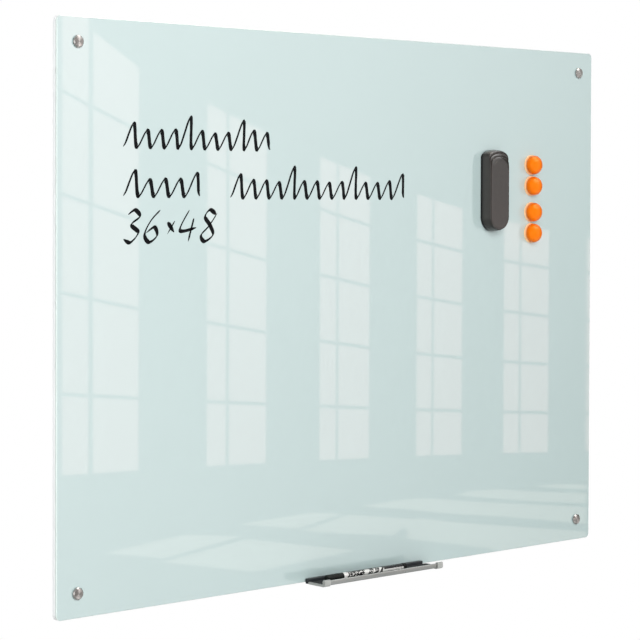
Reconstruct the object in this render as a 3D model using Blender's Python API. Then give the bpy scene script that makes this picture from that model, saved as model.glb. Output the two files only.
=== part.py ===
# A glass whiteboard on four wall standoffs, with its eraser, four button magnets,
# marker tray and marker. Metres, +Z up. The board lies along X and faces -Y.
# The origin is on the wall plane, midway between the four standoffs.

import math

import bmesh
import bpy

# Fits that every piece shares
fit_gap = 0.0003            # air left between pieces that touch
bond_line = 0.0002          # glue between the layers of the panel
cut_overrun = 0.0020        # how far a cutter passes the face that it opens
press_clearance = 0.0003    # round a magnet or a spigot in its seat

# Panel: tempered glass, white steel sheet and foamed backing board
board_width = 1.2192        # 48 inches
board_height = 0.9144       # 36 inches
board_corner_radius = 0.0080
glass_thickness = 0.0040
glass_arris = 0.0008
steel_thickness = 0.0005
steel_inset = 0.0020
backing_thickness = 0.0061
backing_arris = 0.0005

# Standoffs: barrel on the wall, clear washers, sleeve, and a cap with its stud
wall_gap = 0.0150           # wall to the back of the panel
standoff_inset = 0.0380     # board edge to a standoff's axis
standoff_radius = 0.0095
standoff_chamfer = 0.0006
cap_height = 0.0030
washer_thickness = 0.0010
washer_margin = 0.0010      # a washer is this much smaller than its cap, all round
stud_radius = 0.0040
stud_end_gap = 0.0012       # stud to the wall screw's head
sleeve_wall = 0.0014
barrel_base = 0.0034
screw_radius = 0.0020
screw_head_height = 0.0026
screw_head_crown = 0.0010
screw_reach = 0.0300        # length of screw in the wall
screw_tip = 0.0050

# Eraser: hollow shell, felt pad and the magnet bar on the pad's back
eraser_width = 0.0550
eraser_length = 0.1470
eraser_corner_across = 0.0262   # each corner is part of an oval, this wide
eraser_top_rise = 0.0160        # and this tall at the top end
eraser_bottom_rise = 0.0262     # or this tall at the bottom end
eraser_depth = 0.0240
eraser_wall = 0.0026
eraser_draft = 0.0012       # how far the side wall leans in
eraser_crown_depth = 0.0075
eraser_crown_inset = 0.0095
eraser_nose_slope = 0.0065  # how much further the crown comes in at the top end
felt_thickness = 0.0048
felt_margin = 0.0008
bar_width = 0.0200
bar_length = 0.0900
bar_thickness = 0.0040
bar_corner_radius = 0.0008
eraser_across_share = 0.2752    # of the board's width, right of the middle
eraser_up_share = 0.2165        # of the board's height, above the middle

# Button magnets: cap, base ring and magnet disc
magnet_radius = 0.0170
magnet_wall_height = 0.0085
magnet_depth = 0.0215
magnet_base_radius = 0.0184
magnet_base_thickness = 0.0014
magnet_base_round = 0.0005
disc_radius = 0.0090
disc_thickness = 0.0045
magnet_across_share = 0.3626    # of the board's width, right of the middle
magnet_top_share = 0.2685       # of the board's height, above the middle
magnet_step_shares = (0, 1.046, 1.299, 1.046)     # of a base's diameter, each below the last

# Tray: back rail with a magnet strip, aluminium channel, mat and end trims
tray_length = 0.2760
tray_depth = 0.0500
tray_drop = 0.0018          # how far the rail reaches below the board's edge
rail_height = 0.0082
rail_depth = 0.0095
rail_corner_radius = 0.0045
rail_short = 0.0060         # how much sooner the rail ends at the right
rail_groove = 0.0040        # how far the channel's floor reaches into the rail
channel_lift = 0.0014       # rail's underside to the channel's underside
strip_height = 0.0050
strip_thickness = 0.0016
strip_end_margin = 0.0120
floor_thickness = 0.0016
lip_height = 0.0086
lip_thickness = 0.0030
lip_bottom_radius = 0.0030
mat_thickness = 0.0008
trim_length = 0.0130
trim_wall = 0.0012
trim_plate = 0.0020
trim_hook = 0.0035          # how far a trim reaches down inside the lip
trim_sill_clearance = 0.0003    # sill top to the mat's top
tray_across_share = 0.0230      # of the board's width, right of the middle

# Marker: cap, collar, barrel, nib, ink reservoir and end plug
marker_length = 0.1820
marker_start = 0.0210       # tray's left end to the closed end of the cap
marker_forward = 0.0315     # glass to the marker's axis
marker_cap_radius = 0.0056
marker_cap_length = 0.0360
marker_cap_wall = 0.0009
marker_cap_round = 0.0015
barrel_radius = 0.0047
barrel_wall = 0.0008
collar_length = 0.0080
collar_lap = 0.0140         # collar inside the cap
collar_nose = 0.0070
spigot_lap = 0.0080         # collar and plug inside the barrel
spigot_wall = 0.0010
nib_radius = 0.0016
nib_proud = 0.0060
nib_tip = 0.0015
plug_length = 0.0065
plug_round = 0.0010

# How finely round shapes are drawn
board_corner_steps = 6
eraser_corner_steps = 9
crown_steps = 4
dome_steps = 5
arc_steps = 4
round_steps = 24
inner_round_steps = 16
marker_steps = 20
smooth_angle = math.radians(35)
bevel_angle = math.radians(40)
merge_distance = 0.000002

# Worked out from the sizes above
panel_thickness = glass_thickness + steel_thickness + backing_thickness + 2 * bond_line
front = wall_gap + panel_thickness          # wall to the glass face
sleeve_bore = stud_radius + fit_gap
sleeve_radius = sleeve_bore + sleeve_wall
panel_hole_radius = sleeve_radius + fit_gap
barrel_top = wall_gap - washer_thickness - 2 * fit_gap
cap_back = front + washer_thickness + 2 * fit_gap
screw_seat = barrel_base + fit_gap
stud_end = screw_seat + screw_head_height + stud_end_gap
felt_top = fit_gap + felt_thickness
shell_back = felt_top + fit_gap
magnet_wall_back = 2 * fit_gap + magnet_base_thickness
disc_top = fit_gap + disc_thickness
channel_back = fit_gap + rail_depth - rail_groove
mat_top = floor_thickness + fit_gap + mat_thickness
marker_up = channel_lift + mat_top + fit_gap + marker_cap_radius
quarter_turn = math.pi / 2
half_turn = 2 * quarter_turn
full_turn = 4 * quarter_turn

finishes = {}


# A plain finish, shared by every piece of the same make.
def finish(name, colour, roughness, metallic=0.0):
    if name in finishes:
        return finishes[name]
    material = bpy.data.materials.new(name)
    material.use_nodes = True
    shader = material.node_tree.nodes["Principled BSDF"]
    shader.inputs["Base Color"].default_value = (*colour, 1.0)
    shader.inputs["Roughness"].default_value = roughness
    shader.inputs["Metallic"].default_value = metallic
    material.diffuse_color = (*colour, 1.0)
    finishes[name] = material
    return material


# An empty that carries an assembly. Facing the room turns the axes of what it carries:
# X stays along the board, Y points up and Z points out of the board, towards the room.
def assembly(name, place, parent=None, turn=(quarter_turn, 0, 0)):
    empty = bpy.data.objects.new(name, None)
    bpy.context.collection.objects.link(empty)
    empty.location = place
    empty.rotation_euler = turn
    empty.parent = parent
    return empty


def add_object(name, shape, material, parent, place=(0, 0, 0)):
    bmesh.ops.recalc_face_normals(shape, faces=shape.faces)
    mesh = bpy.data.meshes.new(name)
    shape.to_mesh(mesh)
    shape.free()
    mesh.shade_smooth()
    mesh.set_sharp_from_angle(angle=smooth_angle)
    piece = bpy.data.objects.new(name, mesh)
    bpy.context.collection.objects.link(piece)
    piece.parent = parent
    piece.location = place
    if material:
        mesh.materials.append(material)
    return piece


def rounded_outline(width, height, radius, steps):
    points = []
    for corner, (side, rise) in enumerate(((1, 1), (-1, 1), (-1, -1), (1, -1))):
        centre_x = side * (width / 2 - radius)
        centre_y = rise * (height / 2 - radius)
        for step in range(steps + 1):
            angle = (corner + step / steps) * quarter_turn
            points.append((centre_x + radius * math.cos(angle), centre_y + radius * math.sin(angle)))
    return points


def arc(centre, radius, start, end):
    points = []
    for step in range(arc_steps + 1):
        angle = start + (end - start) * step / arc_steps
        points.append((centre[0] + radius * math.cos(angle), centre[1] + radius * math.sin(angle)))
    return points


# A flat face through the given corners, drawn out along a vector.
def drawn(name, corners, along, material, parent):
    shape = bmesh.new()
    face = shape.faces.new([shape.verts.new(corner) for corner in corners])
    made = bmesh.ops.extrude_face_region(shape, geom=[face])
    moved = [item for item in made["geom"] if isinstance(item, bmesh.types.BMVert)]
    bmesh.ops.translate(shape, verts=moved, vec=along)
    return add_object(name, shape, material, parent)


# A flat outline, given as X and Y, drawn out along Z.
def prism(name, points, low, high, material, parent):
    corners = [(x, y, low) for x, y in points]
    return drawn(name, corners, (0, 0, high - low), material, parent)


# A tray section, given as distance from the glass and height, drawn out along the board.
def section(name, points, start, end, material, parent):
    corners = [(start, up, out) for out, up in points]
    return drawn(name, corners, (end - start, 0, 0), material, parent)


# A closed body through outlines of equal length, each with its own height.
def loft(name, levels, material, parent):
    shape = bmesh.new()
    rings = [[shape.verts.new((x, y, height)) for x, y in points] for points, height in levels]
    for lower, upper in zip(rings, rings[1:]):
        for index, vertex in enumerate(lower):
            following = (index + 1) % len(lower)
            shape.faces.new((vertex, lower[following], upper[following], upper[index]))
    shape.faces.new(rings[0][::-1])
    shape.faces.new(rings[-1])
    return add_object(name, shape, material, parent)


# A turned body about Z. The profile is radius and height, and it either starts and ends
# on the axis or closes on itself to leave a bore.
def turned(name, profile, material, parent, steps=round_steps, place=(0, 0, 0)):
    shape = bmesh.new()
    vertices = [shape.verts.new((radius, 0, height)) for radius, height in profile]
    edges = [shape.edges.new(pair) for pair in zip(vertices, vertices[1:])]
    if profile[0][0] > 0:
        edges.append(shape.edges.new((vertices[-1], vertices[0])))
    bmesh.ops.spin(
        shape, geom=vertices + edges, cent=(0, 0, 0), axis=(0, 0, 1),
        angle=full_turn, steps=steps, use_duplicate=False,
    )
    bmesh.ops.remove_doubles(shape, verts=shape.verts, dist=merge_distance)
    bmesh.ops.dissolve_degenerate(shape, edges=shape.edges, dist=merge_distance)
    return add_object(name, shape, material, parent, place)


def ring_profile(inner, outer, low, high):
    return [(inner, low), (outer, low), (outer, high), (inner, high)]


# Points of a quarter ellipse that closes a wall of the given radius.
def dome(radius, start, height, steps):
    points = []
    for step in range(steps + 1):
        angle = quarter_turn * step / steps
        points.append((radius * math.cos(angle), start + height * math.sin(angle)))
    points[-1] = (0, start + height)
    return points


def join_shape(piece, other, operation):
    modifier = piece.modifiers.new(operation.lower(), "BOOLEAN")
    modifier.operation = operation
    modifier.solver = "EXACT"
    modifier.object = other
    other.hide_render = True
    other.display_type = "WIRE"


def bevel_edges(piece, width, steps=1):
    modifier = piece.modifiers.new("edges", "BEVEL")
    modifier.width = width
    modifier.segments = steps
    modifier.limit_method = "ANGLE"
    modifier.angle_limit = bevel_angle


def standoff_places():
    across = board_width / 2 - standoff_inset
    up = board_height / 2 - standoff_inset
    return {
        "top_left": (-across, up),
        "top_right": (across, up),
        "bottom_left": (-across, -up),
        "bottom_right": (across, -up),
    }


# Four drills in one cutter, one at each standoff, through every layer of the panel.
def standoff_drills(parent):
    shape = bmesh.new()
    low = wall_gap - cut_overrun
    high = front + cut_overrun
    for across, up in standoff_places().values():
        made = bmesh.ops.create_cone(
            shape, cap_ends=True, segments=round_steps, depth=high - low,
            radius1=panel_hole_radius, radius2=panel_hole_radius,
        )
        bmesh.ops.translate(shape, verts=made["verts"], vec=(across, up, (low + high) / 2))
    return add_object("standoff_drills", shape, None, parent)


def panel_layer(name, inset, back, thickness, arris, material, parent, drills):
    outline = rounded_outline(
        board_width - 2 * inset, board_height - 2 * inset,
        board_corner_radius - inset, board_corner_steps,
    )
    layer = prism(name, outline, back, back + thickness, material, parent)
    if arris:
        bevel_edges(layer, arris)
    join_shape(layer, drills, "DIFFERENCE")
    return layer


def build_panel():
    panel = assembly("panel", (0, 0, 0))
    drills = standoff_drills(panel)
    foam = finish("white foamed PVC", (0.86, 0.87, 0.87), 0.55)
    enamel = finish("white enamelled steel", (0.80, 0.84, 0.83), 0.35, 0.1)
    glass = finish("tempered glass", (0.70, 0.80, 0.78), 0.05)
    glass.node_tree.nodes["Principled BSDF"].inputs["Alpha"].default_value = 0.6
    back = wall_gap
    panel_layer("backing_board", 0, back, backing_thickness, backing_arris, foam, panel, drills)
    back += backing_thickness + bond_line
    panel_layer("steel_sheet", steel_inset, back, steel_thickness, 0, enamel, panel, drills)
    back += steel_thickness + bond_line
    panel_layer("glass_panel", 0, back, glass_thickness, glass_arris, glass, panel, drills)


def build_standoff(place_name, across, up):
    standoff = assembly("standoff_" + place_name, (across, 0, up))
    steel = finish("turned stainless steel", (0.62, 0.61, 0.60), 0.25, 1.0)
    zinc = finish("zinc-plated screw steel", (0.55, 0.54, 0.50), 0.35, 1.0)
    clear = finish("clear vinyl", (0.80, 0.82, 0.82), 0.2)
    nylon = finish("natural nylon", (0.78, 0.77, 0.72), 0.45)
    outer = standoff_radius
    inner = outer - standoff_chamfer
    washer = outer - washer_margin
    turned(
        "standoff_barrel_" + place_name,
        [
            (screw_radius + fit_gap, 0), (inner, 0), (outer, standoff_chamfer),
            (outer, barrel_top - standoff_chamfer), (inner, barrel_top), (sleeve_bore, barrel_top),
            (sleeve_bore, barrel_base), (screw_radius + fit_gap, barrel_base),
        ],
        steel, standoff,
    )
    turned(
        "wall_screw_" + place_name,
        [
            (0, -screw_reach), (screw_radius, screw_tip - screw_reach), (screw_radius, screw_seat),
            (stud_radius, screw_seat), (stud_radius, screw_seat + screw_head_height - screw_head_crown),
            (screw_radius, screw_seat + screw_head_height), (0, screw_seat + screw_head_height),
        ],
        zinc, standoff, inner_round_steps,
    )
    rear = ring_profile(sleeve_bore, washer, barrel_top + fit_gap, wall_gap - fit_gap)
    turned("rear_washer_" + place_name, rear, clear, standoff)
    sleeve = ring_profile(sleeve_bore, sleeve_radius, wall_gap, front)
    turned("sleeve_" + place_name, sleeve, nylon, standoff, inner_round_steps)
    over = ring_profile(sleeve_bore, washer, front + fit_gap, cap_back - fit_gap)
    turned("front_washer_" + place_name, over, clear, standoff)
    turned(
        "standoff_cap_" + place_name,
        [
            (0, stud_end), (stud_radius - standoff_chamfer, stud_end),
            (stud_radius, stud_end + standoff_chamfer), (stud_radius, cap_back), (outer, cap_back),
            (outer, cap_back + cap_height - standoff_chamfer), (inner, cap_back + cap_height),
            (0, cap_back + cap_height),
        ],
        steel, standoff,
    )


# The eraser's outline, brought in all round by an inset and by a nose at the top end.
def eraser_outline(inset, nose=0.0):
    points = []
    across = eraser_corner_across - inset
    centre_x = eraser_width / 2 - eraser_corner_across
    for corner, (side, end) in enumerate(((1, 1), (-1, 1), (-1, -1), (1, -1))):
        rise = (eraser_top_rise if end > 0 else eraser_bottom_rise) - inset
        reach = eraser_length / 2 - inset - (nose if end > 0 else 0)
        for step in range(eraser_corner_steps + 1):
            angle = (corner + step / eraser_corner_steps) * quarter_turn
            points.append((side * centre_x + across * math.cos(angle), end * (reach - rise) + rise * math.sin(angle)))
    return points


# Outlines of the eraser's shell, or of its hollow, from the pad up to the crown.
def eraser_levels(wall, bottom):
    crown_base = eraser_depth - eraser_crown_depth
    levels = [(eraser_outline(wall), bottom)]
    for step in range(crown_steps + 1):
        angle = quarter_turn * step / crown_steps
        inset = eraser_draft + eraser_crown_inset * (1 - math.cos(angle))
        nose = eraser_nose_slope * (1 - math.cos(angle))
        height = crown_base + eraser_crown_depth * math.sin(angle)
        levels.append((eraser_outline(wall + inset, nose), height - wall))
    return levels


def build_eraser():
    place = (board_width * eraser_across_share, -front, board_height * eraser_up_share)
    eraser = assembly("eraser", place)
    plastic = finish("charcoal ABS", (0.060, 0.052, 0.048), 0.35)
    felt = finish("black wool felt", (0.012, 0.013, 0.014), 0.95)
    ferrite = finish("ferrite", (0.030, 0.030, 0.032), 0.6)
    shell = loft("eraser_shell", eraser_levels(0, shell_back), plastic, eraser)
    hollow = loft("eraser_hollow", eraser_levels(eraser_wall, shell_back - cut_overrun), None, eraser)
    join_shape(shell, hollow, "DIFFERENCE")
    prism("eraser_felt_pad", eraser_outline(felt_margin), fit_gap, felt_top, felt, eraser)
    bar = rounded_outline(bar_width, bar_length, bar_corner_radius, arc_steps)
    bar_back = felt_top + fit_gap
    prism("eraser_magnet_bar", bar, bar_back, bar_back + bar_thickness, ferrite, eraser)


def build_magnets():
    orange = finish("orange ABS", (1.0, 0.19, 0.005), 0.25)
    pale = finish("peach ABS", (0.95, 0.62, 0.36), 0.3)
    nickel = finish("nickel plate", (0.60, 0.58, 0.54), 0.2, 1.0)
    bore = disc_radius + press_clearance
    edge = magnet_base_radius - magnet_base_round
    base_top = fit_gap + magnet_base_thickness
    up = board_height * magnet_top_share
    for number, share in enumerate(magnet_step_shares, start=1):
        up -= 2 * magnet_base_radius * share
        magnet = assembly(f"magnet_{number}", (board_width * magnet_across_share, -front, up))
        base = [
            (bore, fit_gap), (magnet_base_radius, fit_gap),
            (magnet_base_radius, base_top - magnet_base_round), (edge, base_top), (bore, base_top),
        ]
        turned(f"magnet_base_{number}", base, pale, magnet)
        disc = [(0, fit_gap), (disc_radius, fit_gap), (disc_radius, disc_top), (0, disc_top)]
        turned(f"magnet_disc_{number}", disc, nickel, magnet, inner_round_steps)
        pocket = [(0, disc_top + fit_gap), (bore, disc_top + fit_gap), (bore, magnet_wall_back)]
        crown = dome(magnet_radius, magnet_wall_height, magnet_depth - magnet_wall_height, dome_steps)
        cap = pocket + [(magnet_radius, magnet_wall_back)] + crown
        turned(f"magnet_cap_{number}", cap, orange, magnet)


# The channel's outer skin from under the floor, round the lip and over its top, moved
# outwards by a distance. Each point is distance from the glass and height.
def lip_path(start, offset):
    top_radius = lip_thickness / 2
    low_centre = (tray_depth - lip_bottom_radius, lip_bottom_radius)
    top_centre = (tray_depth - top_radius, lip_height - top_radius)
    path = [(start, -offset)]
    path += arc(low_centre, lip_bottom_radius + offset, -quarter_turn, 0)
    path += arc(top_centre, top_radius + offset, 0, half_turn)
    return path


def build_channel(tray, left, right):
    aluminium = finish("anodised aluminium", (0.46, 0.47, 0.47), 0.35, 0.9)
    inner = tray_depth - lip_thickness
    outline = lip_path(channel_back, 0) + [(inner, floor_thickness), (channel_back, floor_thickness)]
    section("tray_channel", outline, left, right, aluminium, tray)


def build_rail(tray):
    plastic = finish("black ABS", (0.030, 0.036, 0.040), 0.5)
    magnet = finish("flexible magnet", (0.020, 0.020, 0.022), 0.7)
    plan = rounded_outline(tray_length - rail_short, rail_depth, rail_corner_radius, arc_steps)
    middle = fit_gap + rail_depth / 2
    left = -rail_short / 2
    rail = drawn("tray_rail", [(left + x, 0, middle + out) for x, out in plan], (0, rail_height, 0), plastic, tray)
    half = tray_length / 2
    groove_back = channel_back - fit_gap
    groove_low = channel_lift - fit_gap
    groove_high = channel_lift + floor_thickness + fit_gap
    groove = [
        (groove_back, groove_low), (tray_depth, groove_low), (tray_depth, groove_high), (groove_back, groove_high),
    ]
    reach = half + cut_overrun
    join_shape(rail, section("rail_groove", groove, -reach, reach, None, tray), "DIFFERENCE")
    low = (rail_height - strip_height) / 2
    high = low + strip_height
    deep = fit_gap + strip_thickness
    strip_left = strip_end_margin - half
    strip_right = half - rail_short - strip_end_margin
    strip = [(fit_gap, low), (deep, low), (deep, high), (fit_gap, high)]
    section("tray_magnet_strip", strip, strip_left, strip_right, magnet, tray)
    low -= press_clearance
    high += press_clearance
    deep += press_clearance
    seat = [(-cut_overrun, low), (deep, low), (deep, high), (-cut_overrun, high)]
    strip_left -= press_clearance
    strip_right += press_clearance
    join_shape(rail, section("strip_seat", seat, strip_left, strip_right, None, tray), "DIFFERENCE")


def build_mat(tray, left, right):
    rubber = finish("black rubber mat", (0.016, 0.018, 0.020), 0.8)
    start = 2 * fit_gap + rail_depth
    end = tray_depth - lip_thickness - fit_gap
    low = floor_thickness + fit_gap
    outline = [(start, low), (end, low), (end, mat_top), (start, mat_top)]
    section("tray_mat", outline, left, right, rubber, tray)


# An end trim: a sleeve round the lip and floor, closed by a plate with a low sill.
def build_trim(tray, name, side, channel_half):
    plastic = finish("silver-grey ABS", (0.52, 0.53, 0.53), 0.35)
    outer = fit_gap + trim_wall
    sleeve_start = rail_depth + 2 * fit_gap
    hook = lip_height - trim_hook
    inner_lip = tray_depth - lip_thickness
    sleeve = lip_path(sleeve_start, outer) + [(inner_lip - outer, hook), (inner_lip - fit_gap, hook)]
    sleeve += lip_path(sleeve_start, fit_gap)[::-1]
    plate_inner = channel_half + fit_gap
    half = tray_length / 2
    trim = section(name, sleeve, side * (half - trim_length), side * half, plastic, tray)
    sill = mat_top - trim_sill_clearance
    plate = lip_path(sleeve_start, outer) + [(inner_lip - outer, sill), (sleeve_start, sill)]
    join_shape(trim, section(name + "_plate", plate, side * plate_inner, side * half, None, tray), "UNION")


def build_marker(tray):
    start = marker_start - tray_length / 2
    marker = assembly("marker", (start, marker_up, marker_forward), tray, (0, quarter_turn, 0))
    black = finish("black polypropylene", (0.010, 0.012, 0.012), 0.3)
    white = finish("white polypropylene", (0.82, 0.82, 0.80), 0.35)
    fibre = finish("fibre", (0.03, 0.03, 0.03), 0.9)
    bore = marker_cap_radius - marker_cap_wall
    cap_end = marker_cap_length
    turned(
        "marker_cap",
        [
            (0, 0), (marker_cap_radius - marker_cap_round, 0), (marker_cap_radius, marker_cap_round),
            (marker_cap_radius, cap_end), (bore, cap_end), (bore, 2 * marker_cap_wall),
            (0, 2 * marker_cap_wall),
        ],
        black, marker, marker_steps,
    )
    lap = bore - fit_gap
    collar_start = cap_end - collar_lap
    nose = collar_start - collar_nose
    ring_start = cap_end + fit_gap
    ring_end = ring_start + collar_length
    barrel_bore = barrel_radius - barrel_wall
    spigot = barrel_bore - press_clearance
    nib_bore = nib_radius + press_clearance
    wide_bore = spigot - spigot_wall
    turned(
        "marker_collar",
        [
            (nib_bore, nose), (nib_bore + spigot_wall, nose), (lap, collar_start), (lap, ring_start),
            (marker_cap_radius, ring_start), (marker_cap_radius, ring_end), (spigot, ring_end),
            (spigot, ring_end + spigot_lap), (wide_bore, ring_end + spigot_lap),
            (nib_bore, ring_end),
        ],
        white, marker, marker_steps,
    )
    plug_start = marker_length - plug_length
    barrel_start = ring_end + fit_gap
    barrel = ring_profile(barrel_bore, barrel_radius, barrel_start, plug_start - fit_gap)
    turned("marker_barrel", barrel, white, marker, marker_steps)
    fill_start = ring_end + spigot_lap + 2 * fit_gap
    fill_end = plug_start - spigot_lap - fit_gap
    nib_start = nose - nib_proud
    turned(
        "marker_nib",
        [
            (0, nib_start), (nib_radius / 2, nib_start), (nib_radius, nib_start + nib_tip),
            (nib_radius, fill_start - fit_gap), (0, fill_start - fit_gap),
        ],
        fibre, marker, inner_round_steps,
    )
    turned(
        "marker_reservoir",
        [(0, fill_start), (spigot, fill_start), (spigot, fill_end), (0, fill_end)],
        fibre, marker, inner_round_steps,
    )
    turned(
        "marker_end_plug",
        [
            (0, plug_start - spigot_lap), (spigot, plug_start - spigot_lap), (spigot, plug_start),
            (marker_cap_radius, plug_start), (marker_cap_radius, marker_length - plug_round),
            (marker_cap_radius - plug_round, marker_length), (0, marker_length),
        ],
        black, marker, marker_steps,
    )


def build_tray():
    place = (board_width * tray_across_share, -front, -board_height / 2 - tray_drop)
    tray = assembly("tray", place)
    channel_half = tray_length / 2 - trim_plate - fit_gap
    deck = assembly("deck", (0, channel_lift, 0), tray, (0, 0, 0))
    build_rail(tray)
    build_channel(deck, -channel_half, channel_half)
    build_mat(deck, fit_gap - channel_half, channel_half - fit_gap)
    build_trim(deck, "tray_end_left", -1, channel_half)
    build_trim(deck, "tray_end_right", 1, channel_half)
    build_marker(tray)


def main():
    for item in list(bpy.data.objects):
        bpy.data.objects.remove(item)
    build_panel()
    for place_name, (across, up) in standoff_places().items():
        build_standoff(place_name, across, up)
    build_eraser()
    build_magnets()
    build_tray()


main()
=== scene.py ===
# A glass whiteboard with its eraser, magnets, marker tray and marker, dressed over the CAD.
# Metres, +Z up. The board lies along X, and its glass faces -Y.

import math
import random

import bmesh
import bpy
from mathutils import Matrix, Vector


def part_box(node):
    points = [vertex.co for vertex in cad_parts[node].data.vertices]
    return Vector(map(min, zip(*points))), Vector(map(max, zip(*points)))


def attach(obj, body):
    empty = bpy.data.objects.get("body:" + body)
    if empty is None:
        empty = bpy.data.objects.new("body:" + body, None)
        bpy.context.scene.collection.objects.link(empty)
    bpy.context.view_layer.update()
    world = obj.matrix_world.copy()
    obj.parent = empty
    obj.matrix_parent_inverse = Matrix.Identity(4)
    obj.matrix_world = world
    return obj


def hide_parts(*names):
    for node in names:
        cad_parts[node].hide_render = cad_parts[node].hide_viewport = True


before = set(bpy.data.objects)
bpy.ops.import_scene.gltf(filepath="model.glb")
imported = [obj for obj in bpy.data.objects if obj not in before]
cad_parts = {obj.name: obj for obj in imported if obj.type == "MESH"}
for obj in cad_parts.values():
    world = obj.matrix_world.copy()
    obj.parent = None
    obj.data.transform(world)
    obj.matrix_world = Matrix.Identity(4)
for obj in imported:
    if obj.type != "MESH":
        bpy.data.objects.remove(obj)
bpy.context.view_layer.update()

millimetre = 0.001
quarterTurn = math.pi / 2
fullTurn = 2 * math.pi
facingRoom = (quarterTurn, 0, 0)    # local X along the board, Y up, Z out of the board
alongBoard = (0, quarterTurn, 0)    # local Z along the board
sharpDegrees = 32                   # an edge that bends further than this stays sharp
easeShare = 0.45                    # of a side, the most that rounding its corner may take
noiseSpan = (0.3, 0.7)              # most of a noise lies between these

boardLow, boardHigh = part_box("glass_panel")
glassFront = boardLow[1]


# Colours

def toLinear(hexColour):
    channels = [int(hexColour[at:at + 2], 16) / 255 for at in (1, 3, 5)]
    return (*[c / 12.92 if c < 0.04045 else ((c + 0.055) / 1.055) ** 2.4 for c in channels], 1.0)


# Fills a node's inputs: each gets a value, a hex colour or another node's output.
def fill(tree, node, inputs):
    for socket, value in inputs.items():
        if isinstance(value, bpy.types.NodeSocket):
            tree.links.new(value, node.inputs[socket])
        else:
            node.inputs[socket].default_value = toLinear(value) if isinstance(value, str) else value


def addNode(tree, kind, inputs=None, **settings):
    node = tree.nodes.new("ShaderNode" + kind)
    for name, value in settings.items():
        setattr(node, name, value)
    fill(tree, node, inputs or {})
    return node


# A material with its constants on the shader's own sockets, ready for its pattern.
def newMaterial(name, constants):
    material = bpy.data.materials.new(name)
    material.use_nodes = True
    tree = material.node_tree
    shader = tree.nodes["Principled BSDF"]
    fill(tree, shader, constants)
    return material, tree, shader, addNode(tree, "TexCoord").outputs["Object"]


# Specks or clouds of a real size: a noise of that many millimetres, as a number from 0 to 1.
def grainOf(tree, place, sizeMm, detail=2.0, stretch=(1, 1, 1)):
    scaled = addNode(tree, "Mapping", {"Vector": place, "Scale": stretch}).outputs[0]
    scale = 1 / (sizeMm * millimetre)
    return addNode(tree, "TexNoise", {"Vector": scaled, "Scale": scale, "Detail": detail}).outputs["Fac"]


# Goes from one value or colour to another, as a pattern runs through its span.
def between(tree, pattern, first, second, span=(0, 1), easing="LINEAR"):
    isColour = not isinstance(first, (int, float))
    low, high = (0, 1) if isColour else (first, second)
    share = addNode(tree, "MapRange", {
        "Value": pattern, "From Min": span[0], "From Max": span[1], "To Min": low, "To Max": high,
    }, interpolation_type=easing).outputs["Result"]
    if isColour:
        return addNode(tree, "Mix", {0: share, 6: first, 7: second}, data_type="RGBA").outputs[2]
    return share


# Gives a shader its colour, its roughness and a relief as deep as the real one's.
def dress(tree, shader, colour, roughness, relief, depthMm):
    bump = addNode(tree, "Bump", {"Height": relief, "Distance": depthMm * millimetre}).outputs["Normal"]
    fill(tree, shader, {"Base Color": colour, "Roughness": roughness, "Normal": bump})


# A finish that one noise leads in colour and roughness. Its relief follows that noise, or a
# finer one. A noise is its size in millimetres, its detail and its stretch.
def noiseFinish(name, constants, colours, roughness, noise, depthMm, fine=None, span=(0, 1)):
    material, tree, shader, place = newMaterial(name, constants)
    lead = grainOf(tree, place, *noise)
    relief = grainOf(tree, place, *fine) if fine else lead
    colour = between(tree, lead, *colours, span)
    dress(tree, shader, colour, between(tree, lead, *roughness, noiseSpan), relief, depthMm)
    return material


# Moulded plastic: a cloud of wear in its gloss, over the fine spark grain of the mould.
def mouldedPlastic(name, constants, colours, roughness, grainMm, depthMm, cloudMm=14):
    return noiseFinish(name, constants, colours, roughness, (cloudMm,), depthMm, (grainMm, 3.0), noiseSpan)


# Meshes

def clamp(value):
    return max(0.0, min(1.0, value))


def inMetres(points):
    return [tuple(part * millimetre for part in point) for point in points]


# The middle of a node along the board and up it, at a given distance out.
def middleOf(node, out):
    low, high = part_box(node)
    return ((low[0] + high[0]) / 2, out, (low[2] + high[2]) / 2)


def finishMesh(name, shape, material, degrees=sharpDegrees):
    bmesh.ops.recalc_face_normals(shape, faces=shape.faces)
    mesh = bpy.data.meshes.new(name)
    shape.to_mesh(mesh)
    shape.free()
    mesh.materials.append(material)
    mesh.shade_smooth()
    mesh.set_sharp_from_angle(angle=math.radians(degrees))
    piece = bpy.data.objects.new(name, mesh)
    bpy.context.collection.objects.link(piece)
    return piece


# Sets a piece in its place, on its body, and in place of its CAD node.
def settle(piece, body, node=None, at=(0, 0, 0), turn=(0, 0, 0)):
    piece.location = at
    piece.rotation_euler = turn
    bpy.context.view_layer.update()
    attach(piece, body)
    if node:
        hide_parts(node)


# Rounds the corners of a flat outline. A corner with little room gets a smaller radius.
def eased(points, radius, steps=3, closed=True):
    made = []
    for index, corner in enumerate(points):
        if not closed and index in (0, len(points) - 1):
            made.append(tuple(corner))
            continue
        here = Vector(corner)
        before = Vector(points[index - 1])
        after = Vector(points[(index + 1) % len(points)])
        reach = min(radius, (before - here).length * easeShare, (after - here).length * easeShare)
        start = here + (before - here).normalized() * reach
        end = here + (after - here).normalized() * reach
        for step in range(steps + 1):
            share = step / steps
            made.append(tuple(start * (1 - share) ** 2 + here * 2 * share * (1 - share) + end * share ** 2))
    return made


def roundedOutline(left, right, low, high, radius, steps):
    points = []
    corners = ((right, high, -1, -1), (left, high, 1, -1), (left, low, 1, 1), (right, low, -1, 1))
    for number, (x, y, inX, inY) in enumerate(corners):
        for step in range(steps + 1):
            angle = (number + step / steps) * quarterTurn
            points.append((x + inX * radius + radius * math.cos(angle), y + inY * radius + radius * math.sin(angle)))
    return points


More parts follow.
